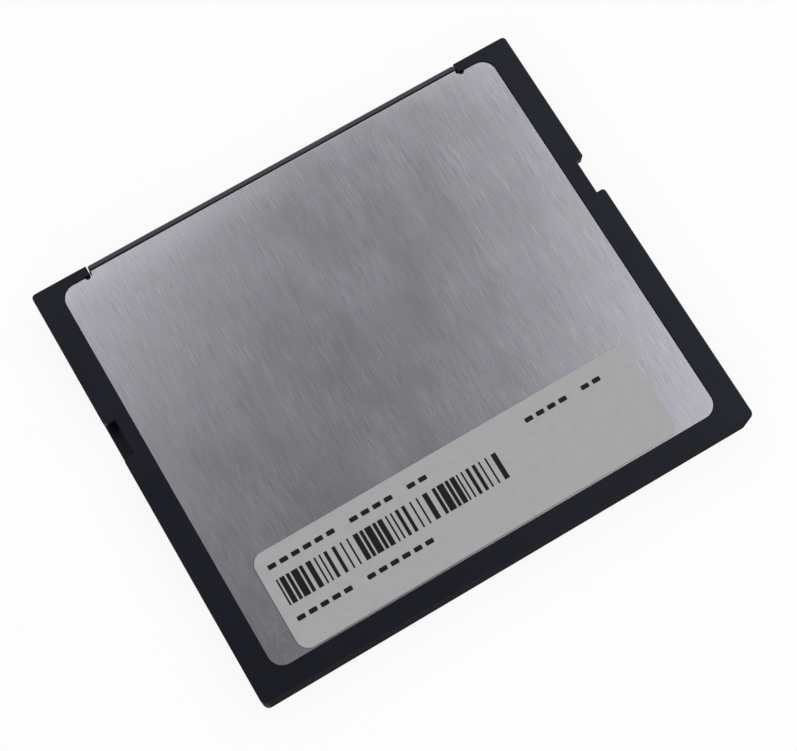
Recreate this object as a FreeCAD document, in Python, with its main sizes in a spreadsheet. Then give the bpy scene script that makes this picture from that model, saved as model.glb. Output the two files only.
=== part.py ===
import FreeCAD, Part
import math
import os
import re
import Sketcher

# A 50-contact flash memory card. It lies on its front face, so the rear face looks up.
# The origin is the middle of the resting face, and +Y points to the connector edge.

DIMENSIONS = {
    # card outline
    "card_width": 42.80,
    "card_length": 36.40,
    "card_thickness": 3.30,
    "connector_corner_radius": 0.35,
    "back_corner_radius": 0.50,
    "rim_chamfer": 0.08,
    # walls of the two frame halves
    "side_wall": 3.08,
    "back_wall": 2.75,
    "front_wall": 1.30,
    "corner_block": 4.78,
    "rib_clearance": 0.10,
    # guide grooves and key notches
    "groove_depth": 0.76,
    "groove_length": 25.78,
    "tall_groove": 1.60,
    "short_groove": 0.99,
    "notch_from_edge": 12.05,
    "notch_width": 3.00,
    "notch_chamfer": 0.20,
    "left_notch_width": 3.14,
    "left_notch_depth": 0.94,
    # weld seam between the halves
    "seam_rib_width": 0.50,
    "seam_rib_height": 0.25,
    "seam_clearance": 0.03,
    # stainless cover plates
    "plate_thickness": 0.20,
    "plate_recess": 0.10,
    "plate_side_margin": 2.05,
    "plate_back_margin": 1.75,
    "plate_ear_setback": 0.83,
    "plate_lip_setback": 0.43,
    "plate_corner_radius": 1.20,
    "plate_clearance": 0.03,
    "lip_side_gap": 0.15,
    "lip_drop": 0.42,
    "lip_bend_radius": 0.15,
    "relief_radius": 0.23,
    "relief_offset": 0.40,
    "tab_length": 3.00,
    "tab_depth": 0.80,
    "side_tab_spacing": 9.50,
    "back_tab_spacing": 18.00,
    # connector housing
    "housing_depth": 5.58,
    "housing_setback": 0.02,
    "housing_side_gap": 0.08,
    "housing_face_gap": 0.02,
    "housing_corner": 0.16,
    "cheek_gap": 0.03,
    "ridge_gap": 0.02,
    "ridge_recess": 0.08,
    "lip_groove_gap": 0.05,
    "ear_width": 1.66,
    "ear_length": 2.40,
    # sockets and contacts
    "contact_pitch": 1.27,
    "row_spacing": 1.27,
    "socket_size": 0.62,
    "socket_depth": 4.40,
    "socket_flare": 0.12,
    "socket_end_margin": 0.95,
    "contact_width": 0.42,
    "contact_clearance": 0.03,
    "contact_tip_setback": 0.60,
    "contact_fork_length": 2.70,
    "contact_stock": 0.15,
    "contact_spring": 0.07,
    "contact_pinch_back": 0.60,
    "pin_gap": 0.34,
    "tail_reach": 1.25,
    "tail_foot": 0.70,
    "tail_bend": 0.20,
    # circuit board
    "board_thickness": 0.50,
    "board_clearance": 0.12,
    "board_face_gap": 0.02,
    "board_ledge": 0.80,
    "board_butt_gap": 0.05,
    "locator_radius": 0.70,
    "locator_clearance": 0.05,
    "locator_from_back": 14.00,
    # leaded chips
    "chip_standoff": 0.05,
    "chip_top_gap": 0.10,
    "chip_edge_chamfer": 0.12,
    "chip_end_gap": 0.50,
    "chip_side_gap": 3.60,
    "lead_pitch": 0.50,
    "lead_width": 0.22,
    "lead_stock": 0.12,
    "lead_foot": 0.45,
    "lead_reach": 0.80,
    "lead_shoulder": 0.12,
    "lead_knee": 0.07,
    "lead_end_margin": 0.20,
    "pin_mark_radius": 0.45,
    "pin_mark_inset": 1.10,
    "pin_mark_depth": 0.05,
    "front_row_space": 5.30,
    # controller
    "controller_size": 10.00,
    "controller_left": 5.50,
    "controller_forward": 1.00,
    "controller_lead_margin": 1.15,
    # small parts
    "regulator_width": 2.90,
    "regulator_length": 1.60,
    "regulator_lead_pitch": 0.95,
    "regulator_lead_width": 0.40,
    "regulator_lead_reach": 0.60,
    "small_part_right": 8.50,
    "small_part_spacing": 4.60,
    "oscillator_width": 3.20,
    "oscillator_length": 2.50,
    "oscillator_lid_inset": 0.20,
    "oscillator_lid_height": 0.15,
    "bulk_capacitor_length": 3.20,
    "bulk_capacitor_width": 1.60,
    "bulk_capacitor_pitch": 4.00,
    "bulk_capacitor_count": 2,
    "filter_capacitor_length": 1.60,
    "filter_capacitor_width": 0.80,
    "filter_capacitor_height": 0.80,
    "filter_capacitor_pitch": 3.80,
    "resistor_length": 1.00,
    "resistor_width": 0.50,
    "resistor_height": 0.35,
    "resistor_pitch": 2.60,
    "end_cap_length": 0.25,
    "end_cap_wrap": 0.03,
    # rear sticker
    "sticker_thickness": 0.08,
    "sticker_height": 8.06,
    "sticker_left_gap": 2.38,
    "sticker_right_gap": 3.45,
    "sticker_back_gap": 0.15,
    "sticker_corner_radius": 1.00,
}

# Places and sizes that follow from the driving dimensions.
DERIVED = {
    "side": "card_width / 2",
    "front": "card_length / 2",
    "half": "card_thickness / 2",
    # plate outline
    "plate_side": "side - plate_side_margin",
    "plate_back": "-front + plate_back_margin",
    "plate_ear": "front - plate_ear_setback",
    "plate_lip": "front - plate_lip_setback",
    "plate_inner": "half - plate_recess - plate_thickness",
    # connector bay
    "mouth_side": "side - corner_block",
    "housing_side": "mouth_side - housing_side_gap",
    "cheek_side": "mouth_side - cheek_gap",
    "housing_front": "front - housing_setback",
    "housing_rear": "housing_front - housing_depth",
    "housing_half": "plate_inner - housing_face_gap",
    "ear_side": "housing_side + ear_width",
    "bay_side": "ear_side + rib_clearance",
    "bay_front": "front - front_wall",
    "ear_front": "bay_front - rib_clearance",
    "ear_back": "ear_front - ear_length",
    "bay_back": "ear_back - rib_clearance",
    "ridge_half": "half - ridge_recess",
    "ridge_back": "plate_lip + ridge_gap",
    # the plate's lip is folded down into a groove of the housing
    "lip_side": "mouth_side - lip_side_gap",
    "lip_inner": "plate_lip - plate_thickness",
    "lip_bottom": "half - plate_recess - lip_drop",
    "lip_groove_back": "lip_inner - lip_groove_gap",
    "lip_groove_floor": "lip_bottom - lip_groove_gap",
    # grooves
    "groove_side": "side - groove_depth",
    "groove_back": "front - groove_length",
    "notch_back": "front - notch_from_edge - notch_width",
    # board and the pocket that clamps it
    "pocket_side": "side - side_wall",
    "pocket_back": "-front + back_wall",
    "board_half": "board_thickness / 2",
    "pocket_half": "board_half + board_face_gap",
    "board_side": "pocket_side - board_clearance",
    "board_back": "pocket_back + board_clearance",
    "board_front": "housing_rear - board_butt_gap",
    "window_side": "board_side - board_ledge",
    "window_back": "board_back + board_ledge",
    "locator_y": "pocket_back + locator_from_back",
    # weld rib in the middle of the wall that is left beside the groove
    "seam_rib_outer": "(pocket_side + groove_side + seam_rib_width) / 2",
    "seam_rib_back": "(pocket_back - front - seam_rib_width) / 2",
    # sockets
    "row_height": "row_spacing / 2",
    "contact_count": "floor(2 * (housing_side - socket_end_margin) / contact_pitch) + 1",
    "contact_span": "(contact_count - 1) * contact_pitch",
    "fork_half": "socket_size / 2 - contact_clearance",
    "tip_y": "housing_front - contact_tip_setback",
    "fork_root_y": "tip_y - contact_fork_length",
    "tail_end_y": "housing_rear - tail_reach",
    # chips: two flash chips side by side on the rear side of the board
    "chip_height": "plate_inner - board_half - chip_top_gap - chip_standoff",
    "flash_width": "window_side - chip_side_gap - chip_side_gap / 2",
    "flash_back": "window_back + chip_end_gap",
    "flash_front": "tail_end_y - front_row_space",
    "flash_length": "flash_front - flash_back - 2 * lead_reach",
    "flash_x": "(chip_side_gap + flash_width) / 2",
    "flash_y": "(flash_front + flash_back) / 2",
    "flash_leads": "floor((flash_width - 2 * lead_end_margin) / lead_pitch) + 1",
    "controller_leads":
        "floor((controller_size - 2 * controller_lead_margin)"
        " / lead_pitch) + 1",
    "regulator_leads": "floor((regulator_width - regulator_lead_width) / regulator_lead_pitch) + 1",
    "row_parts_y": "(flash_front + tail_end_y) / 2",
    "small_part_height": "chip_height + chip_standoff",
    "resistor_count":
        "floor(2 * (window_side - resistor_length) / resistor_pitch) + 1",
    "filter_capacitor_count":
        "floor(2 * (window_side - filter_capacitor_length)"
        " / filter_capacitor_pitch) + 1",
    # sticker
    "plate_outer": "card_thickness - plate_recess",
}

doc = FreeCAD.newDocument("MemoryCard")
sheet = doc.addObject("Spreadsheet::Sheet", "Dimensions")
derived = doc.addObject("Spreadsheet::Sheet", "Derived")


def with_sheet(formula, names, prefix):
    """The formula with each of the names led back to the sheet that holds it."""
    words = re.split(r"(\w+)", formula)
    return "".join(prefix + word if word in names else word for word in words)


for row, (alias, size) in enumerate(DIMENSIONS.items(), start=1):
    sheet.set(f"A{row}", alias)
    sheet.set(f"B{row}", str(size))
    sheet.setAlias(f"B{row}", alias)

for row, (alias, formula) in enumerate(DERIVED.items(), start=1):
    derived.set(f"A{row}", alias)
    derived.set(f"B{row}", "=" + with_sheet(formula, DIMENSIONS, "Dimensions."))
    derived.setAlias(f"B{row}", alias)
doc.recompute()

SUB_PARTS = []


def bound(formula):
    """A formula in short words, as the document's objects have to name its values."""
    return with_sheet(with_sheet(formula, DIMENSIONS, "Dimensions."), DERIVED, "Derived.")


def measure(formula):
    """The number that a formula gives now."""
    return float(sheet.evalExpression(bound(formula)))


def minus(formula):
    return f"-({formula})"


def bind(thing, prop, formula):
    thing.setExpression(prop, bound(formula))


def new_body(label, x="0", y="0", z="0", face_down=False):
    """One sub-part, placed on the card; face_down turns it over about the card's length."""
    body = doc.addObject("PartDesign::Body", label)
    body.Label = label
    if face_down:
        turn = FreeCAD.Rotation(FreeCAD.Vector(0, 1, 0), 180)
        body.Placement = FreeCAD.Placement(FreeCAD.Vector(), turn)
    bind(body, "Placement.Base.x", x)
    bind(body, "Placement.Base.y", y)
    bind(body, "Placement.Base.z", z)
    SUB_PARTS.append(body)
    return body


def origin_feature(body, role):
    return next(feature for feature in body.Origin.OriginFeatures if feature.Role == role)


def new_sketch(body, plane, offset):
    """A sketch on one of the body's own planes, shifted along that plane's normal."""
    sketch = body.newObject("Sketcher::SketchObject", body.Label + "_sketch")
    sketch.AttachmentSupport = [(origin_feature(body, plane), "")]
    sketch.MapMode = "FlatFace"
    bind(sketch, "AttachmentOffset.Base.z", offset)
    return sketch


def pin_point(sketch, element, point, across, up):
    """Hold one point of the sketch at two bound distances from its origin."""
    for kind, formula in (("DistanceX", across), ("DistanceY", up)):
        rule = Sketcher.Constraint(kind, -1, 1, element, point, measure(formula))
        index = sketch.addConstraint(rule)
        bind(sketch, f"Constraints[{index}]", formula)


def draw_polygon(sketch, points):
    """A closed outline of straight lines through points given as formulas."""
    first = sketch.GeometryCount
    count = len(points)
    corners = [FreeCAD.Vector(measure(across), measure(up), 0) for across, up in points]
    for index in range(count):
        line = Part.LineSegment(corners[index], corners[(index + 1) % count])
        sketch.addGeometry(line, False)
    for index in range(count):
        following = first + (index + 1) % count
        sketch.addConstraint(Sketcher.Constraint("Coincident", first + index, 2, following, 1))
    for index, (across, up) in enumerate(points):
        pin_point(sketch, first + index, 1, across, up)


def draw_rectangle(sketch, left, right, bottom, top):
    draw_polygon(sketch, [(left, bottom), (right, bottom), (right, top), (left, top)])


def draw_circle(sketch, across, up, radius):
    centre = FreeCAD.Vector(measure(across), measure(up), 0)
    circle = Part.Circle(centre, FreeCAD.Vector(0, 0, 1), measure(radius))
    element = sketch.addGeometry(circle, False)
    rule = Sketcher.Constraint("Radius", element, measure(radius))
    index = sketch.addConstraint(rule)
    bind(sketch, f"Constraints[{index}]", radius)
    pin_point(sketch, element, 3, across, up)


def draw_rounded_rectangle(sketch, left, right, bottom, top, bottom_radius, top_radius):
    """Four lines joined by four tangent arcs, with one radius at the bottom and one at the top."""
    corners = [
        (f"{right} - {bottom_radius}", f"{bottom} + {bottom_radius}", bottom_radius, -90),
        (f"{right} - {top_radius}", f"{top} - {top_radius}", top_radius, 0),
        (f"{left} + {top_radius}", f"{top} - {top_radius}", top_radius, 90),
        (f"{left} + {bottom_radius}", f"{bottom} + {bottom_radius}", bottom_radius, 180),
    ]
    arcs = []
    for across, up, radius, start in corners:
        centre = FreeCAD.Vector(measure(across), measure(up), 0)
        circle = Part.Circle(centre, FreeCAD.Vector(0, 0, 1), measure(radius))
        arc = Part.ArcOfCircle(circle, math.radians(start), math.radians(start + 90))
        element = sketch.addGeometry(arc, False)
        index = sketch.addConstraint(Sketcher.Constraint("Radius", element, measure(radius)))
        bind(sketch, f"Constraints[{index}]", radius)
        pin_point(sketch, element, 3, across, up)
        arcs.append((element, arc))
    for index, (element, arc) in enumerate(arcs):
        following, next_arc = arcs[(index + 1) % len(arcs)]
        line = sketch.addGeometry(Part.LineSegment(arc.EndPoint, next_arc.StartPoint), False)
        sketch.addConstraint(Sketcher.Constraint("Tangent", element, 2, line, 1))
        sketch.addConstraint(Sketcher.Constraint("Tangent", line, 2, following, 1))


def pad(body, sketch, length, backwards=False):
    feature = body.newObject("PartDesign::Pad", body.Label + "_pad")
    feature.Profile = sketch
    feature.Reversed = backwards
    bind(feature, "Length", length)
    doc.recompute()
    return feature


def pocket(body, sketch, depth, taper=0, backwards=False):
    """A cut from the sketch's plane against its normal; it has to take something away."""
    before = body.Shape.Volume
    feature = body.newObject("PartDesign::Pocket", body.Label + "_pocket")
    feature.Profile = sketch
    feature.TaperAngle = taper
    feature.Reversed = backwards
    bind(feature, "Length", depth)
    doc.recompute()
    if body.Shape.Volume >= before:
        raise RuntimeError(f"a pocket of {body.Label} cuts nothing")
    return feature


def repeat(body, originals, axis, pitch, count):
    """Copies of the features in a row along one of the body's axes."""
    pattern = body.newObject("PartDesign::LinearPattern", body.Label + "_row")
    pattern.Originals = originals
    pattern.Direction = (origin_feature(body, axis), [""])
    bind(pattern, "Length", f"({count} - 1) * {pitch}")
    bind(pattern, "Occurrences", count)
    body.Tip = pattern
    doc.recompute()
    return pattern


def edges_where(feature, test):
    """Names of the feature's edges whose two ends pass the test."""
    names = []
    for index, edge in enumerate(feature.Shape.Edges, start=1):
        if all(test(vertex.Point) for vertex in edge.Vertexes):
            names.append(f"Edge{index}")
    return names


def round_edges(body, feature, names, radius):
    fillet = body.newObject("PartDesign::Fillet", body.Label + "_round")
    fillet.Base = (feature, names)
    bind(fillet, "Radius", radius)
    doc.recompute()
    return fillet


def chamfer_edges(body, feature, names, size):
    chamfer = body.newObject("PartDesign::Chamfer", body.Label + "_chamfer")
    chamfer.Base = (feature, names)
    bind(chamfer, "Size", size)
    doc.recompute()
    return chamfer


NEAR = 0.001


def near(one, other):
    return abs(one - other) < NEAR


def both_sides(points):
    """A right-hand outline from back to front, closed by its mirror image on the left."""
    return points + [(minus(across), up) for across, up in reversed(points)]


def above_and_below(points):
    """The upper half of a section, closed by its mirror image below."""
    return points + [(along, minus(up)) for along, up in reversed(points)]


# Frame halves: moulded in black plastic and welded together along the middle of the card.
# Each is drawn from the seam (z = 0) up to its outer face.
# The groove is tall on one side and short on the other, so that the card fits one way round.
def frame_half(label, face_down):
    body = new_body(label, z="half", face_down=face_down)

    sketch = new_sketch(body, "XY_Plane", "0")
    draw_rounded_rectangle(
        sketch, "-side", "side", "-front", "front",
        "back_corner_radius", "connector_corner_radius",
    )
    block = pad(body, sketch, "half")
    outer = measure("half")
    rim = edges_where(block, lambda point: near(point.z, outer))
    chamfer_edges(body, block, rim, "rim_chamfer")

    # seat for the cover plate
    sketch = new_sketch(body, "XY_Plane", "half")
    draw_rounded_rectangle(
        sketch, "-(plate_side + plate_clearance)", "plate_side + plate_clearance",
        "plate_back - plate_clearance", "plate_ear + plate_clearance",
        "plate_corner_radius", "plate_corner_radius",
    )
    pocket(body, sketch, "plate_recess + plate_thickness")

    # window for the chips, bay for the connector's ears and mouth for its face
    sketch = new_sketch(body, "XY_Plane", "half")
    right_hand = [
        ("window_side", "window_back"),
        ("window_side", "housing_rear"),
        ("mouth_side", "housing_rear"),
        ("mouth_side", "bay_back"),
        ("bay_side", "bay_back"),
        ("bay_side", "bay_front"),
        ("mouth_side", "bay_front"),
        ("mouth_side", "front + groove_depth"),
    ]
    draw_polygon(sketch, both_sides(right_hand))
    pocket(body, sketch, "half")

    # pocket that takes half of the board's thickness
    sketch = new_sketch(body, "XY_Plane", "pocket_half")
    draw_rectangle(sketch, "-pocket_side", "pocket_side", "pocket_back", "housing_rear")
    pocket(body, sketch, "pocket_half")

    # half-round bosses that locate the board lengthwise
    for across in ("pocket_side", "-pocket_side"):
        sketch = new_sketch(body, "XY_Plane", "0")
        draw_circle(sketch, across, "locator_y", "locator_radius")
        pad(body, sketch, "pocket_half")

    # guide grooves, open at the connector edge
    tall_side = (1, -1)[face_down]
    for hand, height in ((tall_side, "tall_groove / 2"), (-tall_side, "short_groove / 2")):
        sketch = new_sketch(body, "XY_Plane", height)
        inner = f"{hand} * groove_side"
        outside = f"{hand} * (side + groove_depth)"
        left, right = sorted((inner, outside), key=measure)
        draw_rectangle(sketch, left, right, "groove_back", "front + groove_depth")
        pocket(body, sketch, height)

    # slots for the folded tabs of the cover plate
    sketch = new_sketch(body, "XY_Plane", "plate_inner")
    for left, right, back, front in plate_tabs("plate_clearance"):
        draw_rectangle(sketch, left, right, back, front)
    pocket(body, sketch, "tab_depth + plate_clearance")
    return body


def plate_tabs(margin):
    """The places of the tabs: three on each side and two at the back, grown by the margin."""
    tabs = []
    for step in (-1, 0, 1):
        middle = f"{step} * side_tab_spacing"
        back = f"{middle} - tab_length / 2 - {margin}"
        front = f"{middle} + tab_length / 2 + {margin}"
        inner = f"(plate_side - plate_thickness - {margin})"
        outer = f"(plate_side + {margin})"
        tabs.append((inner, outer, back, front))
        tabs.append((minus(outer), minus(inner), back, front))
    for step in (-0.5, 0.5):
        middle = f"{step} * back_tab_spacing"
        left = f"{middle} - tab_length / 2 - {margin}"
        right = f"{middle} + tab_length / 2 + {margin}"
        back = f"plate_back - {margin}"
        front = f"plate_back + plate_thickness + {margin}"
        tabs.append((left, right, back, front))
    return tabs


def seam_path(margin):
    """A band along both sides and the back, grown by the margin."""
    outer = f"(seam_rib_outer + {margin})"
    inner = f"(seam_rib_outer - seam_rib_width - {margin})"
    back = f"seam_rib_back - {margin}"
    back_inner = f"seam_rib_back + seam_rib_width + {margin}"
    end = f"bay_back + {margin}"
    return [
        (minus(outer), end),
        (minus(outer), back),
        (outer, back),
        (outer, end),
        (inner, end),
        (inner, back_inner),
        (minus(inner), back_inner),
        (minus(inner), end),
    ]


def rear_frame_half():
    """The half on the rear side: it alone has the key notches, cut down to the grooves."""
    body = frame_half("rear_frame_half", face_down=False)
    for hand, depth, width in (
        (1, "groove_depth", "notch_width"),
        (-1, "left_notch_depth", "left_notch_width"),
    ):
        sketch = new_sketch(body, "XY_Plane", "half")
        outside = f"{hand} * (side + groove_depth)"
        edge = f"{hand} * side"
        inner = f"{hand} * (side - {depth})"
        bevel = f"{hand} * (side - notch_chamfer)"
        notch_front = f"notch_back + {width}"
        draw_polygon(sketch, [
            (inner, "notch_back"),
            (bevel, "notch_back"),
            (edge, "notch_back - notch_chamfer"),
            (outside, "notch_back - notch_chamfer"),
            (outside, f"{notch_front} + notch_chamfer"),
            (edge, f"{notch_front} + notch_chamfer"),
            (bevel, notch_front),
            (inner, notch_front),
        ])
        pocket(body, sketch, "half")
    sketch = new_sketch(body, "XY_Plane", "seam_rib_height + seam_clearance")
    draw_polygon(sketch, seam_path("seam_clearance"))
    pocket(body, sketch, "seam_rib_height + seam_clearance")


def front_frame_half():
    """The half on the front side, with the rib that melts into the other half."""
    body = frame_half("front_frame_half", face_down=True)
    sketch = new_sketch(body, "XY_Plane", "0")
    draw_polygon(sketch, seam_path("0"))
    pad(body, sketch, "seam_rib_height", backwards=True)


# Cover plates: pressed from stainless sheet, with tabs folded into the plastic
# and a lip that is folded down behind the connector's front ridge.
def cover_plate(label, face_down):
    body = new_body(label, z="half", face_down=face_down)
    sketch = new_sketch(body, "XY_Plane", "plate_inner")
    draw_rounded_rectangle(
        sketch, "-plate_side", "plate_side", "plate_back", "plate_ear",
        "plate_corner_radius", "plate_corner_radius",
    )
    pad(body, sketch, "plate_thickness")

    sketch = new_sketch(body, "YZ_Plane", "-lip_side")
    draw_polygon(sketch, [
        ("plate_ear - plate_thickness", "plate_inner"),
        ("lip_inner", "plate_inner"),
        ("lip_inner", "lip_bottom"),
        ("plate_lip", "lip_bottom"),
        ("plate_lip", "plate_inner + plate_thickness"),
        ("plate_ear - plate_thickness", "plate_inner + plate_thickness"),
    ])
    lip = pad(body, sketch, "2 * lip_side")
    front = measure("plate_lip")
    top = measure("plate_inner + plate_thickness")
    fold = edges_where(lip, lambda point: near(point.y, front) and near(point.z, top))
    round_edges(body, lip, fold, "lip_bend_radius")

    # round reliefs beside the fold
    for hand in (1, -1):
        sketch = new_sketch(body, "XY_Plane", "half")
        draw_circle(sketch, f"{hand} * (lip_side + relief_offset)", "plate_ear", "relief_radius")
        pocket(body, sketch, "half")

    sketch = new_sketch(body, "XY_Plane", "plate_inner")
    for left, right, back, front in plate_tabs("0"):
        draw_rectangle(sketch, left, right, back, front)
    pad(body, sketch, "tab_depth", backwards=True)


# Connector housing: one moulded block with two rows of square sockets.
# Its ears sit in the bay behind the frame's corner blocks.
def connector_housing():
    body = new_body("connector_housing", z="half")
    section = [
        ("housing_rear", "housing_half"),
        ("lip_groove_back", "housing_half"),
        ("lip_groove_back", "lip_groove_floor"),
        ("ridge_back", "lip_groove_floor"),
        ("ridge_back", "ridge_half"),
        ("housing_front", "ridge_half"),
    ]
    sketch = new_sketch(body, "YZ_Plane", "-housing_side")
    draw_polygon(sketch, above_and_below(section))
    block = pad(body, sketch, "2 * housing_side")
    front = measure("housing_front")
    side = measure("housing_side")
    corners = edges_where(block, lambda point: near(point.y, front) and near(abs(point.x), side))
    chamfer_edges(body, block, corners, "housing_corner")

    sketch = new_sketch(body, "YZ_Plane", "-ear_side")
    draw_rectangle(sketch, "ear_back", "ear_front", "-housing_half", "housing_half")
    pad(body, sketch, "2 * ear_side")

    # behind the ridge the block is a little wider, and all but fills the frame's mouth
    cheek = [
        ("ear_back", "housing_half"),
        ("lip_groove_back", "housing_half"),
        ("lip_groove_back", "lip_groove_floor"),
        ("ridge_back", "lip_groove_floor"),
    ]
    sketch = new_sketch(body, "YZ_Plane", "-cheek_side")
    draw_polygon(sketch, above_and_below(cheek))
    pad(body, sketch, "2 * cheek_side")

    # each socket has a flared mouth, a square bore and a narrow slot for the contact's tail
    first = "-contact_span / 2"
    cuts = []
    bore = "socket_size / 2"
    mouth = "socket_size / 2 + socket_flare"
    slot_width = "contact_width / 2 + contact_clearance"
    slot_height = "contact_stock / 2 + contact_clearance"
    for half_width, half_height, depth, taper in (
        (bore, bore, "socket_depth", 0),
        (mouth, mouth, "socket_flare", -45),
        (slot_width, slot_height, "housing_depth", 0),
    ):
        sketch = new_sketch(body, "XZ_Plane", "-housing_front")
        draw_rectangle(
            sketch, f"{first} - ({half_width})", f"{first} + {half_width}",
            f"row_height - ({half_height})", f"row_height + {half_height}",
        )
        cuts.append(pocket(body, sketch, depth, taper, backwards=True))
    row = repeat(body, cuts, "X_Axis", "contact_pitch", "contact_count")
    row.Direction2 = (origin_feature(body, "Z_Axis"), [""])
    row.Reversed2 = True
    row.Occurrences2 = 2
    bind(row, "Length2", "row_spacing")
    doc.recompute()


# Contacts: forks stamped from spring bronze, with a tail that is soldered to the board.
def contact_row(label, face_down):
    body = new_body(label, z="half", face_down=face_down)
    fork_outer = "row_height + fork_half"
    fork_inner = "row_height + fork_half - contact_spring"
    pinch = "row_height + pin_gap / 2"
    stem_top = "row_height + contact_stock / 2"
    stem_bottom = "row_height - contact_stock / 2"
    root = "fork_root_y + contact_stock"
    sketch = new_sketch(body, "YZ_Plane", "-contact_span / 2 - contact_width / 2")
    draw_polygon(sketch, [
        ("tip_y", fork_outer),
        ("tip_y - contact_pinch_back", pinch),
        (root, fork_inner),
        (root, "row_height - fork_half + contact_spring"),
        ("tip_y - contact_pinch_back", "row_height - pin_gap / 2"),
        ("tip_y", "row_height - fork_half"),
        ("fork_root_y", "row_height - fork_half"),
        ("fork_root_y", stem_bottom),
        ("housing_rear - tail_bend", stem_bottom),
        ("tail_end_y + tail_foot", "board_half"),
        ("tail_end_y", "board_half"),
        ("tail_end_y", "board_half + contact_stock"),
        ("tail_end_y + tail_foot", "board_half + contact_stock"),
        ("housing_rear - tail_bend", stem_top),
        ("fork_root_y", stem_top),
        ("fork_root_y", fork_outer),
    ])
    contact = pad(body, sketch, "contact_width")
    repeat(body, [contact], "X_Axis", "contact_pitch", "contact_count")


# Circuit board: clamped between the two halves along its edges.
def circuit_board():
    body = new_body("circuit_board", z="half")
    sketch = new_sketch(body, "XY_Plane", "-board_half")
    draw_rectangle(sketch, "-board_side", "board_side", "board_back", "board_front")
    pad(body, sketch, "board_thickness")
    for across in ("pocket_side", "-pocket_side"):
        sketch = new_sketch(body, "XY_Plane", "board_half")
        draw_circle(sketch, across, "locator_y", "locator_radius + locator_clearance")
        pocket(body, sketch, "board_thickness")


def board_body(label, x, y, face_down):
    """A sub-part drawn with the board's rear or front surface at z = 0."""
    height = minus("board_half") if face_down else "board_half"
    return new_body(label, x, y, f"half + {height}", face_down)


# Leaded chips: a moulded body and a separate set of gull-wing leads, both drawn about the
# middle of the chip.
def chip_body(label, x, y, face_down, width, length):
    body = board_body(label, x, y, face_down)
    sketch = new_sketch(body, "XY_Plane", "chip_standoff")
    draw_rectangle(sketch, f"-{width} / 2", f"{width} / 2", f"-{length} / 2", f"{length} / 2")
    block = pad(body, sketch, "chip_height")
    top = measure("chip_standoff + chip_height")
    upper = edges_where(block, lambda point: near(point.z, top))
    chamfer_edges(body, block, upper, "chip_edge_chamfer")
    return body


def pin_mark(body, width, length):
    """The round dimple beside a chip's first lead."""
    sketch = new_sketch(body, "XY_Plane", "chip_standoff + chip_height")
    draw_circle(
        sketch, f"-{width} / 2 + pin_mark_inset", f"{length} / 2 - pin_mark_inset", "pin_mark_radius",
    )
    pocket(body, sketch, "pin_mark_depth")


def lead_profile(edge, reach, hand):
    """One lead seen from its side: shoulder out of the body, slope and foot on the board."""
    middle = "(chip_standoff + chip_height / 2)"
    knee = f"{edge} + {reach} - lead_foot"
    points = [
        (edge, f"{middle} + lead_stock / 2"),
        (f"{edge} + lead_shoulder", f"{middle} + lead_stock / 2"),
        (knee, "lead_stock"),
        (f"{edge} + {reach}", "lead_stock"),
        (f"{edge} + {reach}", "0"),
        (f"{knee} - lead_knee", "0"),
        (edge, f"{middle} - lead_stock / 2"),
    ]
    return [(f"{hand} * ({across})", up) for across, up in points]


def lead_rows(body, plane, axis, edge, reach, pitch, width, count):
    """Two facing rows of leads. The normal of the XZ plane runs against the Y axis."""
    half_row = f"({count} - 1) * {pitch} / 2"
    first = minus(half_row) if plane == "YZ_Plane" else half_row
    sketch = new_sketch(body, plane, f"{first} - {width} / 2")
    for hand in (1, -1):
        draw_polygon(sketch, lead_profile(edge, reach, hand))
    leads = pad(body, sketch, width)
    repeat(body, [leads], axis, pitch, count)


def chip_leads(label, x, y, face_down, rows):
    body = board_body(label, x, y, face_down)
    for row in rows:
        lead_rows(body, **row)


def flash_chip(side_name, hand):
    x = f"{hand} * flash_x"
    body = chip_body(f"{side_name}_flash_chip", x, "flash_y", False, "flash_width", "flash_length")
    pin_mark(body, "flash_width", "flash_length")
    rows = [{
        "plane": "YZ_Plane", "axis": "X_Axis", "edge": "flash_length / 2", "reach": "lead_reach",
        "pitch": "lead_pitch", "width": "lead_width", "count": "flash_leads",
    }]
    chip_leads(f"{side_name}_flash_leads", x, "flash_y", False, rows)


def controller():
    x = "-controller_left"
    y = "flash_y + controller_forward"
    size = "controller_size"
    body = chip_body("controller_chip", x, y, True, size, size)
    pin_mark(body, size, size)
    rows = [
        {
            "plane": plane, "axis": axis, "edge": "controller_size / 2", "reach": "lead_reach",
            "pitch": "lead_pitch", "width": "lead_width", "count": "controller_leads",
        }
        for plane, axis in (("YZ_Plane", "X_Axis"), ("XZ_Plane", "Y_Axis"))
    ]
    chip_leads("controller_leads", x, y, True, rows)


def regulator():
    x = "small_part_right"
    y = "flash_y + controller_forward"
    chip_body("voltage_regulator", x, y, True, "regulator_width", "regulator_length")
    rows = [{
        "plane": "YZ_Plane", "axis": "X_Axis", "edge": "regulator_length / 2",
        "reach": "regulator_lead_reach", "pitch": "regulator_lead_pitch",
        "width": "regulator_lead_width", "count": "regulator_leads",
    }]
    chip_leads("regulator_leads", x, y, True, rows)


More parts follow.
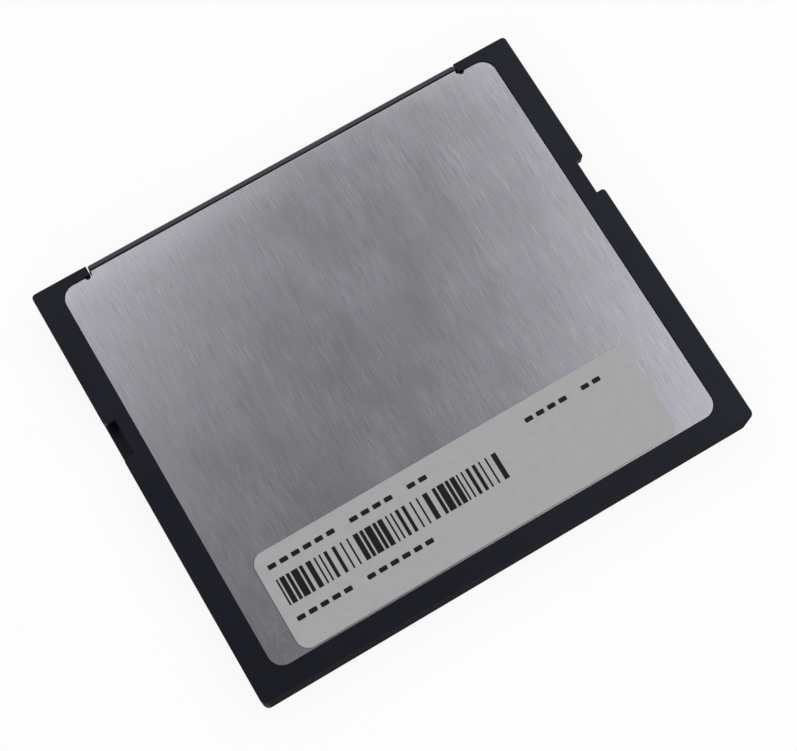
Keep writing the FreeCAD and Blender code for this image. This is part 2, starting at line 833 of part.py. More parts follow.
# Clock oscillator: a ceramic base closed by a metal lid.
def oscillator():
    x = "small_part_right"
    y = "flash_y + controller_forward - small_part_spacing"
    body = board_body("clock_oscillator", x, y, True)
    sketch = new_sketch(body, "XY_Plane", "0")
    draw_rectangle(
        sketch, "-oscillator_width / 2", "oscillator_width / 2",
        "-oscillator_length / 2", "oscillator_length / 2",
    )
    pad(body, sketch, "small_part_height - oscillator_lid_height")

    lid = board_body("oscillator_lid", x, y, True)
    sketch = new_sketch(lid, "XY_Plane", "small_part_height - oscillator_lid_height")
    draw_rounded_rectangle(
        sketch,
        "-(oscillator_width / 2 - oscillator_lid_inset)", "oscillator_width / 2 - oscillator_lid_inset",
        "-(oscillator_length / 2 - oscillator_lid_inset)", "oscillator_length / 2 - oscillator_lid_inset",
        "oscillator_lid_inset", "oscillator_lid_inset",
    )
    pad(lid, sketch, "oscillator_lid_height")


# Two-ended parts: a ceramic block between two tinned end caps, in a row across the card.
def two_ended_parts(label, ends_label, place, size, pitch, count):
    x, y, face_down = place
    length, width, height = size
    first = f"-({count} - 1) * {pitch} / 2"
    cap = "end_cap_length"
    body = board_body(label, x, y, face_down)
    sketch = new_sketch(body, "XY_Plane", "end_cap_wrap")
    draw_rectangle(
        sketch, f"{first} - {length} / 2 + {cap}", f"{first} + {length} / 2 - {cap}",
        f"-({width} / 2 - end_cap_wrap)", f"{width} / 2 - end_cap_wrap",
    )
    block = pad(body, sketch, f"{height} - 2 * end_cap_wrap")
    repeat(body, [block], "X_Axis", pitch, count)

    ends = board_body(ends_label, x, y, face_down)
    sketch = new_sketch(ends, "XY_Plane", "0")
    for start in (f"{first} - {length} / 2", f"{first} + {length} / 2 - {cap}"):
        draw_rectangle(sketch, start, f"{start} + {cap}", f"-{width} / 2", f"{width} / 2")
    caps = pad(ends, sketch, height)
    repeat(ends, [caps], "X_Axis", pitch, count)


# Rear sticker: a printed film on the rear cover plate.
def rear_sticker():
    body = new_body("rear_sticker", z="plate_outer")
    sketch = new_sketch(body, "XY_Plane", "0")
    draw_rounded_rectangle(
        sketch,
        "-plate_side + sticker_left_gap", "plate_side - sticker_right_gap",
        "plate_back + sticker_back_gap", "plate_back + sticker_back_gap + sticker_height",
        "sticker_corner_radius", "sticker_corner_radius",
    )
    pad(body, sketch, "sticker_thickness")


# Sub-parts in the order of assembly.
def build():
    rear_frame_half()
    front_frame_half()
    cover_plate("rear_cover_plate", face_down=False)
    cover_plate("front_cover_plate", face_down=True)
    connector_housing()
    contact_row("upper_row_contacts", face_down=False)
    contact_row("lower_row_contacts", face_down=True)
    circuit_board()
    flash_chip("left", -1)
    flash_chip("right", 1)
    controller()
    regulator()
    oscillator()
    two_ended_parts(
        "bulk_capacitor", "bulk_capacitor_ends",
        ("small_part_right", "flash_y + controller_forward + small_part_spacing", True),
        ("bulk_capacitor_length", "bulk_capacitor_width", "small_part_height"),
        "bulk_capacitor_pitch", "bulk_capacitor_count",
    )
    two_ended_parts(
        "filter_capacitors", "filter_capacitor_ends",
        ("0", "row_parts_y", False),
        ("filter_capacitor_length", "filter_capacitor_width", "filter_capacitor_height"),
        "filter_capacitor_pitch", "filter_capacitor_count",
    )
    two_ended_parts(
        "resistors", "resistor_ends",
        ("0", "row_parts_y", True),
        ("resistor_length", "resistor_width", "resistor_height"),
        "resistor_pitch", "resistor_count",
    )
    rear_sticker()


build()
doc.recompute()

for thing in doc.Objects:
    if "Invalid" in thing.State or "Error" in thing.State:
        raise RuntimeError(f"{thing.Label} failed")

os.makedirs("parts", exist_ok=True)
for body in SUB_PARTS:
    if body.Shape.isNull() or not body.Shape.isValid():
        raise RuntimeError(f"{body.Label} has no valid shape")
    body.Shape.exportStep(f"parts/{body.Label}.step")
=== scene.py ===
# Looks of the flash memory card: its board, chips, contacts, frame halves, plates and sticker.
import math

import bmesh
import bpy
from mathutils import Matrix, Vector


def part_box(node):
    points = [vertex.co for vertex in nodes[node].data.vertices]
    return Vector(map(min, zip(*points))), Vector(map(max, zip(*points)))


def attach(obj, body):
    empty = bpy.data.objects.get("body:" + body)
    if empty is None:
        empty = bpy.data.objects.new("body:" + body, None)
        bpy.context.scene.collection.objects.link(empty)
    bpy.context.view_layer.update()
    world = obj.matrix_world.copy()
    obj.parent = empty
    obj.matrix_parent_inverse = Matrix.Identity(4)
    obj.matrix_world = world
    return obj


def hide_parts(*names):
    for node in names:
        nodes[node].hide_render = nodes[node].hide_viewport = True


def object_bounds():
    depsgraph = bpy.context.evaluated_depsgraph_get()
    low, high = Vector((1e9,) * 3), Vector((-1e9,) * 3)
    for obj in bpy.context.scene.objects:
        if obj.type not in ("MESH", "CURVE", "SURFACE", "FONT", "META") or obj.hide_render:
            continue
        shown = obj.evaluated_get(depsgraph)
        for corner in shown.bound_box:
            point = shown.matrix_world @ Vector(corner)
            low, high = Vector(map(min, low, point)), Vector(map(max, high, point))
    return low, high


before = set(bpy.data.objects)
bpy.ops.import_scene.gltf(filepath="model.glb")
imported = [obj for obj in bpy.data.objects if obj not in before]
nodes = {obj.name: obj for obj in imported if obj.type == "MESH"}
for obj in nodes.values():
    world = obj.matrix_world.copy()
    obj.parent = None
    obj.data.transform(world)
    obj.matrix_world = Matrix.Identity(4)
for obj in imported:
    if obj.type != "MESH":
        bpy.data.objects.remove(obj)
solid_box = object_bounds()

# Circuit board: glass-epoxy laminate with copper tracks under green solder mask, routed to shape
# and held between the two frame halves. The tracks show through the mask as paler green lines.
MM = 0.001
TRACK = 0.26
TRACK_DEPTH = 0.02
# Most of a noise lies between these two values.
NOISE_LOW = 0.3
NOISE_HIGH = 0.7
# A Mix node's colour sockets go by number, because they share their names with its others.
MIX_COLOURS = (6, 7)
MIX_RESULT = 2


def new_finish(name):
    """A material, with its node tree and its shader."""
    finish = bpy.data.materials.new(name)
    finish.use_nodes = True
    return finish, finish.node_tree, finish.node_tree.nodes["Principled BSDF"]


def grain(tree, cell, turn=0.0, detail=2.0):
    """Noise on the piece's own coordinates, whose grains have the size of a cell in millimetres."""
    piece = tree.nodes.new("ShaderNodeTexCoord")
    cells = tree.nodes.new("ShaderNodeMapping")
    cells.vector_type = "TEXTURE"
    cells.inputs["Rotation"].default_value = (0, 0, math.radians(turn))
    cells.inputs["Scale"].default_value = [side * MM for side in cell]
    noise = tree.nodes.new("ShaderNodeTexNoise")
    noise.inputs["Scale"].default_value = 1.0
    noise.inputs["Detail"].default_value = detail
    tree.links.new(piece.outputs["Object"], cells.inputs["Vector"])
    tree.links.new(cells.outputs["Vector"], noise.inputs["Vector"])
    return noise.outputs["Fac"]


def stretch(tree, value, low, high, first=0.0, last=1.0):
    """The value between low and high, spread over the range from first to last."""
    spread = tree.nodes.new("ShaderNodeMapRange")
    ends = {"From Min": low, "From Max": high, "To Min": first, "To Max": last}
    for name, number in ends.items():
        spread.inputs[name].default_value = number
    tree.links.new(value, spread.inputs["Value"])
    return spread.outputs["Result"]


def vary(tree, noise, first=0.0, last=1.0):
    """The noise, spread over the range from first to last."""
    return stretch(tree, noise, NOISE_LOW, NOISE_HIGH, first, last)


def combine(tree, operation, first, second=0.0):
    """Two values put together by a Math node. The second may be a number, or left out."""
    maths = tree.nodes.new("ShaderNodeMath")
    maths.operation = operation
    tree.links.new(first, maths.inputs[0])
    if isinstance(second, (int, float)):
        maths.inputs[1].default_value = second
    else:
        tree.links.new(second, maths.inputs[1])
    return maths.outputs["Value"]


def colour_between(tree, share, *colours):
    """A colour that goes from the first to the second with the share. Each may be a socket."""
    mix = tree.nodes.new("ShaderNodeMix")
    mix.data_type = "RGBA"
    tree.links.new(share, mix.inputs["Factor"])
    for place, colour in zip(MIX_COLOURS, colours):
        if isinstance(colour, tuple):
            mix.inputs[place].default_value = (*colour, 1.0)
        else:
            tree.links.new(colour, mix.inputs[place])
    return mix.outputs[MIX_RESULT]


def coat(tree, shader, colour, roughness):
    """Gives the surface its colour and its roughness."""
    tree.links.new(colour, shader.inputs["Base Color"])
    tree.links.new(roughness, shader.inputs["Roughness"])


def relief(tree, shader, height, depth):
    """Makes the surface rise and fall with the height, by the depth in millimetres."""
    bump = tree.nodes.new("ShaderNodeBump")
    bump.inputs["Distance"].default_value = depth * MM
    tree.links.new(height, bump.inputs["Height"])
    tree.links.new(bump.outputs["Normal"], shader.inputs["Normal"])


def put_on(finish, *names):
    """Gives the finish to the solids of these names, in their own material slots."""
    for name in names:
        solid = nodes[name]
        if not solid.material_slots:
            solid.data.materials.append(finish)
        for own_slot in solid.material_slots:
            own_slot.material = finish


mask, tree, shader = new_finish("solder_mask")
tracks_along_y = stretch(tree, grain(tree, (TRACK, 3.4, 1.0), detail=0.0), 0.54, 0.57)
tracks_along_x = stretch(tree, grain(tree, (2.8, TRACK, 1.0), detail=0.0), 0.57, 0.60)
tracks = combine(tree, "MAXIMUM", tracks_along_y, tracks_along_x)
weave = grain(tree, (0.4, 0.4, 0.4), detail=3.0)
over_laminate = colour_between(tree, weave, (0.008, 0.052, 0.022), (0.012, 0.072, 0.030))
green = colour_between(tree, tracks, over_laminate, (0.022, 0.125, 0.048))
coat(tree, shader, green, roughness=vary(tree, weave, 0.28, 0.38))
relief(tree, shader, tracks, depth=TRACK_DEPTH)
put_on(mask, "circuit_board")

# Memory chips, controller and regulator: black epoxy moulded round the silicon and its lead frame.
# The tool is spark-eroded, so the faces are finely grained, and each chip is soldered by its leads.
epoxy, tree, shader = new_finish("moulded_epoxy")
spark = grain(tree, (0.07, 0.07, 0.07))
filler = grain(tree, (0.9, 0.9, 0.9), detail=4.0)
black = colour_between(tree, filler, (0.016, 0.016, 0.018), (0.030, 0.030, 0.032))
coat(tree, shader, black, roughness=vary(tree, spark, 0.48, 0.66))
relief(tree, shader, spark, depth=0.008)
put_on(epoxy, "left_flash_chip", "right_flash_chip", "controller_chip", "voltage_regulator")

# Leads and end caps: copper strip and fired silver under tin. Reflowed solder leaves the tin
# satin, with duller patches where the flux lay.
tin, tree, shader = new_finish("reflowed_tin")
shader.inputs["Metallic"].default_value = 1.0
flux = grain(tree, (0.5, 0.5, 0.5), detail=3.0)
ripple = grain(tree, (0.09, 0.09, 0.09))
silvery = colour_between(tree, flux, (0.50, 0.49, 0.46), (0.68, 0.68, 0.67))
coat(tree, shader, silvery, roughness=vary(tree, flux, 0.42, 0.24))
relief(tree, shader, ripple, depth=0.004)
put_on(tin, "left_flash_leads", "right_flash_leads", "controller_leads", "regulator_leads")
put_on(tin, "bulk_capacitor_ends", "filter_capacitor_ends", "resistor_ends")

# Clock oscillator: a crystal in a fired ceramic tub, closed by a plated metal lid that is welded
# round its rim.
tub, tree, shader = new_finish("fired_tub_ceramic")
grit = grain(tree, (0.06, 0.06, 0.06), detail=3.0)
brown = colour_between(tree, grit, (0.12, 0.098, 0.082), (0.19, 0.155, 0.13))
coat(tree, shader, brown, roughness=vary(tree, grit, 0.5, 0.7))
relief(tree, shader, grit, depth=0.005)
put_on(tub, "clock_oscillator")

lid, tree, shader = new_finish("plated_lid")
shader.inputs["Metallic"].default_value = 1.0
rolling = grain(tree, (1.6, 0.06, 1.0), detail=3.0)
plating = colour_between(tree, rolling, (0.62, 0.60, 0.54), (0.78, 0.75, 0.68))
coat(tree, shader, plating, roughness=vary(tree, rolling, 0.16, 0.30))
relief(tree, shader, rolling, depth=0.001)
put_on(lid, "oscillator_lid")

# Capacitors and resistors: small fired ceramic blocks, tan for the capacitors and dark glazed
# for the resistors, soldered by their two ends.
tan, tree, shader = new_finish("tan_ceramic")
fired = grain(tree, (0.12, 0.12, 0.12), detail=3.0)
clay = colour_between(tree, fired, (0.34, 0.21, 0.11), (0.50, 0.33, 0.19))
coat(tree, shader, clay, roughness=vary(tree, fired, 0.45, 0.6))
relief(tree, shader, fired, depth=0.004)
put_on(tan, "bulk_capacitor", "filter_capacitors")

glaze, tree, shader = new_finish("dark_glaze")
pool = grain(tree, (0.3, 0.3, 0.3))
slate = colour_between(tree, pool, (0.022, 0.022, 0.030), (0.055, 0.055, 0.066))
coat(tree, shader, slate, roughness=vary(tree, pool, 0.18, 0.32))
relief(tree, shader, pool, depth=0.006)
put_on(glaze, "resistors")

# Contacts: forks stamped from spring bronze, flashed with gold and pressed into the housing from
# behind. Drawing the strip leaves fine lines along each one.
gold, tree, shader = new_finish("gold_flash")
shader.inputs["Metallic"].default_value = 1.0
drawing = grain(tree, (0.03, 1.4, 0.03), detail=3.0)
yellow = colour_between(tree, drawing, (0.70, 0.48, 0.21), (0.86, 0.65, 0.34))
coat(tree, shader, yellow, roughness=vary(tree, drawing, 0.2, 0.34))
relief(tree, shader, drawing, depth=0.001)
put_on(gold, "upper_row_contacts", "lower_row_contacts")

# Connector housing: heat-resistant plastic filled with short glass, moulded round the fifty
# sockets. It is greyer than the frame, and its glass gives it a fine mottle.
HOUSING_ROUND = 0.03
# Corners nearer than WELD become one, and triangles that meet at less than FLAT become one face.
# Edges that turn by more than SHARP are rounded, and those over SMOOTH stay crisp in the shading.
WELD = 0.0005
FLAT = math.radians(0.5)
SHARP = math.radians(30)
SMOOTH = math.radians(50)


def new_piece(name, mesh):
    """Puts the finished mesh in the scene, as a piece of that name."""
    data = bpy.data.meshes.new(name)
    mesh.to_mesh(data)
    mesh.free()
    piece = bpy.data.objects.new(name, data)
    bpy.context.scene.collection.objects.link(piece)
    return piece


def smooth_over(piece):
    """Shades the piece smooth, apart from the edges where it turns sharply."""
    piece.data.shade_smooth()
    piece.data.set_sharp_from_angle(angle=SMOOTH)


def softened_copy(node, name, radius, shortest=0.0):
    """A copy of a solid, its triangles joined into whole faces and its edges softly rounded.

    Edges up to the shortest length keep their corner. Both lengths are in millimetres.
    """
    mesh = bmesh.new()
    mesh.from_mesh(nodes[node].data)
    bmesh.ops.remove_doubles(mesh, verts=mesh.verts, dist=WELD * MM)
    bmesh.ops.dissolve_limit(mesh, angle_limit=FLAT, verts=mesh.verts, edges=mesh.edges)
    corners = [edge for edge in mesh.edges if edge.is_manifold and edge.calc_face_angle() > SHARP]
    corners = [edge for edge in corners if edge.calc_length() > shortest * MM]
    bmesh.ops.bevel(mesh, geom=corners, offset=radius * MM, offset_type="OFFSET", affect="EDGES",
                    segments=2, profile=0.5, material=-1, clamp_overlap=False)
    piece = new_piece(name, mesh)
    smooth_over(piece)
    flatten = piece.modifiers.new("flat faces", "WEIGHTED_NORMAL")
    flatten.keep_sharp = True
    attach(piece, "root")
    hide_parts(node)
    return piece


def times(tree, first, second):
    """The product of two values. The second may be a number."""
    return combine(tree, "MULTIPLY", first, second)


def wear(finish, *names):
    """Gives the finish to the pieces of these names."""
    for name in names:
        piece = bpy.data.objects[name]
        piece.data.materials.clear()
        piece.data.materials.append(finish)


softened_copy("connector_housing", "socket_housing", HOUSING_ROUND,
              shortest=1.5)

filled, tree, shader = new_finish("glass_filled_plastic")
glass = grain(tree, (0.25, 0.08, 0.08), turn=12.0, detail=3.0)
flow = grain(tree, (5.0, 2.0, 2.0), detail=3.0)
mottle = combine(tree, "ADD", times(tree, glass, 0.5), times(tree, flow, 0.5))
mottle = stretch(tree, mottle, 0.35, 0.65)
grey = colour_between(tree, mottle, (0.033, 0.031, 0.044), (0.051, 0.048, 0.064))
coat(tree, shader, grey, roughness=vary(tree, glass, 0.45, 0.62))
shader.inputs["Specular IOR Level"].default_value = 0.35
relief(tree, shader, glass, depth=0.004)
wear(filled, "socket_housing")

# Frame halves: near-black plastic with a slight blue cast, moulded in a spark-eroded tool and
# welded together at mid-height. The sides that run in a reader's guides are a trace paler along
# their outer edges, painted both as rub wear and as a painted edge highlight.
FRAME_ROUND = 0.025
# The paler band of rub wear and painted highlight begins this far in from a rail's outer face,
# and is full this near to it.
PALE_BAND_BEGINS = 0.18
PALE_BAND_FULL = 0.02
# Seen from low down, the grained faces hardly shine.
SHEEN = 0.28
SHEEN_FROM_LOW = 0.0005


def position(tree):
    """Where the point lies on the piece, as the values X, Y and Z in metres."""
    piece = tree.nodes.new("ShaderNodeTexCoord")
    axes = tree.nodes.new("ShaderNodeSeparateXYZ")
    tree.links.new(piece.outputs["Object"], axes.inputs["Vector"])
    return axes.outputs


softened_copy("front_frame_half", "frame_front_half", FRAME_ROUND)
softened_copy("rear_frame_half", "frame_rear_half", FRAME_ROUND)

moulded, tree, shader = new_finish("grained_frame_plastic")
pits = grain(tree, (0.10, 0.10, 0.10))
clouds = grain(tree, (4.5, 4.5, 4.5), detail=4.0)
rail_face = solid_box[1][0]  # the X of the solids' far corner
side = combine(tree, "ABSOLUTE", position(tree)["X"])
on_rail = stretch(tree, side, rail_face - PALE_BAND_BEGINS * MM, rail_face - PALE_BAND_FULL * MM)
rub_and_highlight_marks = stretch(tree, grain(tree, (0.35, 2.2, 0.12), detail=3.0), 0.50, 0.74)
rub_and_highlight = times(tree, on_rail, rub_and_highlight_marks)
body = colour_between(tree, vary(tree, clouds), (0.0012, 0.0013, 0.0026), (0.0030, 0.0033, 0.0056))
# Paler band along the rails' outer edges: rub wear and a painted edge highlight.
body = colour_between(tree, rub_and_highlight, body, (0.014, 0.0145, 0.019))
polish = times(tree, rub_and_highlight, 0.12)
coat(tree, shader, body, roughness=combine(tree, "SUBTRACT", vary(tree, pits, 0.32, 0.44), polish))
shader.inputs["Specular Tint"].default_value = (0.74, 0.78, 1.0, 1.0)
shader.inputs["Specular IOR Level"].default_value = SHEEN
glance = tree.nodes.new("ShaderNodeLayerWeight").outputs["Facing"]
sheen = stretch(tree, glance, 0.35, 0.85, SHEEN, SHEEN_FROM_LOW)
tree.links.new(sheen, shader.inputs["Specular IOR Level"])
relief(tree, shader, pits, depth=0.006)
wear(moulded, "frame_front_half", "frame_rear_half")

# Cover plates: thin stainless sheet, brushed along the card and folded down over the connector, so
# that the face rolls over a little before the fold. Handling has left scratches and, beside the
# sticker, a patch of curled rub marks. A thin painted shadow darkens the plate along the sticker's
# left end.
PLATE_ROUND = 0.02
ROLL_LENGTH = 3.6
ROLL_STEPS = 9
ROLL_DROP = 0.065
SKIN = 0.19
CUT_SNAP = 0.0001
# Each edge of the patch of rub marks: where they begin, and where they have their full strength.
REAR_SIDE = (1.5, 2.0)
CURLS_LEFT = (-19.0, -18.4)
CURLS_RIGHT = (-16.4, -17.2)
CURLS_TOP = (-12.6, -13.6)
# The painted shadow reaches out past the sticker's left end, and stays hidden under its other
# edges.
SHADOW_OUT = 0.05
SHADOW_IN = 0.1
SHADOW_ROUND = 0.9
SHADOW_WIDTH = 0.08


def roll_over(piece, node, outward):
    """Lowers the outer skin of a plate more and more toward its folded lip."""
    low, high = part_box(node)
    outer_face = high.z if outward > 0 else low.z
    start = high.y - ROLL_LENGTH * MM
    mesh = bmesh.new()
    mesh.from_mesh(piece.data)
    for step in range(ROLL_STEPS):
        line = start + ROLL_LENGTH * MM * step / ROLL_STEPS
        everything = mesh.verts[:] + mesh.edges[:] + mesh.faces[:]
        bmesh.ops.bisect_plane(mesh, geom=everything, dist=CUT_SNAP * MM,
                               plane_co=(0, line, 0), plane_no=(0, 1, 0))
    for vert in mesh.verts:
        if abs(vert.co.z - outer_face) < SKIN * MM and vert.co.y > start:
            share = (vert.co.y - start) / (ROLL_LENGTH * MM)
            vert.co.z -= outward * ROLL_DROP * MM * share ** 3
    mesh.to_mesh(piece.data)
    mesh.free()
    smooth_over(piece)


def marks(tree, cell, turn, start, full):
    """Scattered marks the size of a cell, which come up as the noise goes from start to full."""
    return stretch(tree, grain(tree, cell, turn=turn, detail=1.0), start, full)


def fade(tree, value, first, last):
    """Rises from 0 to 1 while the place goes from first to last, in millimetres."""
    return stretch(tree, value, first * MM, last * MM)


def outside(tree, place, low, high, corner):
    """How far the point lies outside a rectangle with round corners, in metres."""
    squares = []
    for axis, first, last in (("X", low.x, high.x), ("Y", low.y, high.y)):
        away = combine(tree, "ABSOLUTE", combine(tree, "SUBTRACT", place[axis], (first + last) / 2))
        past = combine(tree, "SUBTRACT", away, (last - first) / 2 - corner)
        past = combine(tree, "MAXIMUM", past, 0.0)
        squares.append(times(tree, past, past))
    reach = combine(tree, "SQRT", combine(tree, "ADD", *squares))
    return combine(tree, "SUBTRACT", reach, corner)


front_plate = softened_copy("front_cover_plate", "front_plate", PLATE_ROUND)
rear_plate = softened_copy("rear_cover_plate", "rear_plate", PLATE_ROUND)
roll_over(front_plate, "front_cover_plate", outward=-1)
roll_over(rear_plate, "rear_cover_plate", outward=1)

brushed, tree, shader = new_finish("brushed_stainless")
shader.inputs["Metallic"].default_value = 1.0
place = position(tree)
on_rear = fade(tree, place["Z"], *REAR_SIDE)

lines = grain(tree, (0.14, 1.6, 1.0), detail=1.0)
bands = grain(tree, (0.7, 6.0, 1.0))
smears = grain(tree, (3.4, 4.4, 4.0))
patches = stretch(tree, grain(tree, (3.0, 4.0, 4.0)), 0.40, 0.64, 0.45, 1.0)
proud = times(tree, stretch(tree, lines, 0.56, 0.76), patches)
sunk = times(tree, stretch(tree, lines, 0.44, 0.26), patches)

nicks = marks(tree, (0.12, 2.2, 1.0), turn=-1.5, start=0.66, full=0.76)
cuts = marks(tree, (0.12, 1.9, 1.0), turn=1.5, start=0.34, full=0.24)
strays = marks(tree, (0.10, 1.6, 1.0), turn=-17.0, start=0.73, full=0.84)
curl = combine(tree, "SUBTRACT", grain(tree, (0.42, 0.60, 0.5), detail=0.0), 0.5)
curls = stretch(tree, combine(tree, "ABSOLUTE", curl), 0.055, 0.020)
for axis, edge in (("X", CURLS_LEFT), ("X", CURLS_RIGHT), ("Y", CURLS_TOP)):
    curls = times(tree, curls, fade(tree, place[axis], *edge))
curls = times(tree, curls, on_rear)
scratches = combine(tree, "MAXIMUM", combine(tree, "MAXIMUM", nicks, strays), curls)

# Painted shadow: a thin dark line on the plate just past the sticker's left end, as the sticker's
# edge would shade it.
low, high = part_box("rear_sticker")
low += Vector((-SHADOW_OUT, SHADOW_IN, 0)) * MM
high -= Vector((SHADOW_IN, SHADOW_IN, 0)) * MM
past_shadow_edge = outside(tree, place, low, high, SHADOW_ROUND * MM)
sticker_edge_shadow = times(tree, fade(tree, past_shadow_edge, SHADOW_WIDTH, 0.0), on_rear)

sheet = colour_between(tree, vary(tree, bands), (0.399, 0.389, 0.420), (0.411, 0.405, 0.443))
layers = (
    (proud, (0.456, 0.447, 0.484)),
    (sunk, (0.350, 0.343, 0.375)),
    (times(tree, cuts, 0.6), (0.325, 0.318, 0.350)),
    (times(tree, scratches, 0.6), (0.50, 0.49, 0.52)),
    # the painted shadow beside the sticker's left end
    (times(tree, sticker_edge_shadow, 0.6), (0.22, 0.215, 0.235)),
)
for share, colour in layers:
    sheet = colour_between(tree, share, sheet, colour)
satin = combine(tree, "ADD", vary(tree, bands, 0.245, 0.255), vary(tree, smears, -0.018, 0.018))
coat(tree, shader, sheet, roughness=satin)
brushing = combine(tree, "ADD", times(tree, lines, 0.3), times(tree, bands, 0.5))
relief(tree, shader, combine(tree, "SUBTRACT", brushing, times(tree, scratches, 0.4)), depth=0.0015)
wear(brushed, "front_plate", "rear_plate")

# Sticker: off-white plastic film, die-cut with round corners and pressed on by hand across the
# end of the rear plate. Its coating takes thermal print and has a faint mottle.
STICKER_ROUND = 0.012
softened_copy("rear_sticker", "film_sticker", STICKER_ROUND)

film, tree, shader = new_finish("coated_film")
coating = grain(tree, (0.8, 0.8, 0.8), detail=5.0)
fibres = grain(tree, (0.05, 0.05, 0.05))
white = colour_between(tree, vary(tree, coating), (0.386, 0.382, 0.386), (0.414, 0.410, 0.412))
coat(tree, shader, white, roughness=vary(tree, fibres, 0.42, 0.54))
shader.inputs["Specular IOR Level"].default_value = 0.3
relief(tree, shader, fibres, depth=0.0015)
wear(film, "film_sticker")

# Print on the sticker: a row of bars of an even pattern and rows of plain dashes, laid down as
# a few thousandths of a millimetre of black resin ribbon.
film_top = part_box("rear_sticker")[1].z
INK = 0.004
DASH = 0.68
DASH_HIGH = 0.38
DASH_ROUND = 0.08
DASH_STEP = 1.0
WORD_GAP = 1.0
# Each row: its left end, its middle line and the dashes in its words.
DASH_ROWS = (
    (-16.10, -9.56, (6, 4, 2)),
    (-16.10, -13.95, (5, 6)),
    (6.20, -9.70, (4, 2)),
)
BARS_LEFT = -16.06
BARS_BOTTOM = -12.80
BARS_TOP = -10.60
BAR_COUNT = 35
# The bars and the gaps after them take these widths in turn, in units of the finest bar.
BAR = 0.14
BAR_WIDTHS = (1, 3, 2, 4, 2, 3, 1, 1, 2, 2, 1)
GAP_WIDTHS = (1, 1, 1, 1, 2, 2, 2, 2, 3, 3, 3, 3)


def print_block(mesh, left, right, bottom, top, end_radius=0.0):
    """Adds a thin block of ink to the mesh, its size and place in millimetres."""
    made = bmesh.ops.create_cube(mesh, size=1.0)
    size = Vector((right - left, top - bottom, INK)) * MM
    centre = Vector(((left + right) / 2 * MM, (bottom + top) / 2 * MM, film_top + INK * MM / 2))
    bmesh.ops.transform(mesh, matrix=Matrix.LocRotScale(centre, None, size), verts=made["verts"])
    if end_radius:
        foot = [vert for vert in made["verts"] if vert.co.z < centre.z]
        uprights = [edge for vert in foot for edge in vert.link_edges
                    if edge.other_vert(vert).co.z > centre.z]
        bmesh.ops.bevel(mesh, geom=uprights, offset=end_radius * MM, offset_type="OFFSET",
                        affect="EDGES", segments=3, profile=0.5, material=-1)


print_mesh = bmesh.new()
for start, middle, words in DASH_ROWS:
    bottom, top = middle - DASH_HIGH / 2, middle + DASH_HIGH / 2
    at = start
    for letters in words:
        for letter in range(letters):
            print_block(print_mesh, at, at + DASH, bottom, top, DASH_ROUND)
            at += DASH_STEP
        at += WORD_GAP
at = BARS_LEFT
for number in range(BAR_COUNT):
    width = BAR * BAR_WIDTHS[number % len(BAR_WIDTHS)]
    print_block(print_mesh, at, at + width, BARS_BOTTOM, BARS_TOP)
    at += width + BAR * GAP_WIDTHS[number % len(GAP_WIDTHS)]
ink_piece = new_piece("sticker_print", print_mesh)
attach(ink_piece, "root")

ribbon, tree, shader = new_finish("printed_resin")
dots = grain(tree, (0.12, 0.12, 0.12), detail=3.0)
ink = colour_between(tree, vary(tree, dots), (0.005, 0.005, 0.005), (0.009, 0.009, 0.009))
coat(tree, shader, ink, roughness=vary(tree, dots, 0.38, 0.52))
shader.inputs["Specular IOR Level"].default_value = 0.16
wear(ribbon, "sticker_print")

# Floor: a broad pale board under the card. It looks nearly white, both straight on and mirrored
# in the metal, and the card's shadow still falls on it.
FLOOR_SIDE = 4.0
FLOOR_GAP = 0.01
PALENESS = 0.9
floor_mesh = bmesh.new()
bmesh.ops.create_grid(floor_mesh, x_segments=1, y_segments=1, size=FLOOR_SIDE / 2)
bmesh.ops.translate(floor_mesh, verts=floor_mesh.verts, vec=(0, 0, -FLOOR_GAP * MM))
floor = new_piece("pale_floor", floor_mesh)

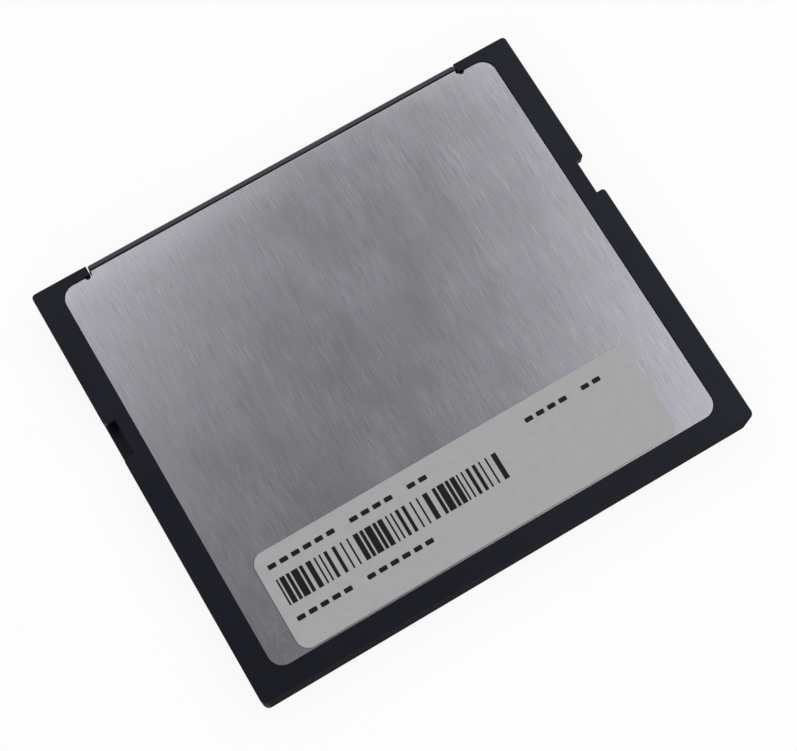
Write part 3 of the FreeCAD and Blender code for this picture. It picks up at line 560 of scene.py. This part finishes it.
paint, tree, shader = new_finish("pale_paint")
shader.inputs["Base Color"].default_value = (PALENESS, PALENESS, PALENESS, 1.0)
shader.inputs["Roughness"].default_value = 0.9
shader.inputs["Specular IOR Level"].default_value = 0.1
glow = tree.nodes.new("ShaderNodeEmission")
ray = tree.nodes.new("ShaderNodeLightPath").outputs
seen = combine(tree, "MAXIMUM", ray["Is Camera Ray"], ray["Is Glossy Ray"])
seen = combine(tree, "MAXIMUM", seen, ray["Is Transmission Ray"])
blend = tree.nodes.new("ShaderNodeMixShader")
tree.links.new(times(tree, seen, PALENESS), blend.inputs["Fac"])
tree.links.new(shader.outputs["BSDF"], blend.inputs[1])
tree.links.new(glow.outputs["Emission"], blend.inputs[2])
tree.links.new(blend.outputs["Shader"], tree.nodes["Material Output"].inputs["Surface"])
wear(paint, "pale_floor")

# Light: an even pale surround, with a long soft box to the right, two smaller ones behind the
# connector edge and a broad one in front.
world = bpy.data.worlds.new("surround")
world.use_nodes = True
background = world.node_tree.nodes["Background"]
background.inputs["Color"].default_value = (0.97, 0.97, 1.0, 1.0)
background.inputs["Strength"].default_value = 0.26
bpy.context.scene.world = world


def soft_box(name, place, width, height, radiance):
    """A square-cornered lamp turned to the card, its place and size in metres."""
    lamp = bpy.data.lights.new(name, "AREA")
    lamp.shape = "RECTANGLE"
    lamp.size = width
    lamp.size_y = height
    lamp.energy = radiance * math.pi * width * height
    holder = bpy.data.objects.new(name, lamp)
    holder.location = place
    holder.rotation_euler = Vector(place).to_track_quat("Z", "Y").to_euler()
    bpy.context.scene.collection.objects.link(holder)


soft_box("right_box", (0.28, -0.10, 0.515), width=0.845, height=0.404, radiance=1.235)
soft_box("back_box", (-0.15, 0.24, 0.38), width=0.344, height=0.339, radiance=1.08)
soft_box("low_box", (0.23, 0.195, 0.337), width=0.643, height=0.186, radiance=1.27)
soft_box("front_box", (-0.55, -0.55, 0.60), width=0.90, height=0.90, radiance=1.4)

# Camera: above the card, a little toward its plain end and its left rail, turned so that the
# card lies askew as in the photograph.
lens = bpy.data.cameras.new("camera")
lens.lens = 85.57
lens.sensor_width = 36.0
lens.clip_start = 0.005
camera = bpy.data.objects.new("camera", lens)
camera.location = (-19.157 * MM, -34.415 * MM, 142.624 * MM)
camera.rotation_euler = [math.radians(angle) for angle in (15.166, 0.145, -30.622)]
bpy.context.scene.collection.objects.link(camera)
bpy.context.scene.camera = camera
bpy.context.scene.view_settings.view_transform = "Standard"
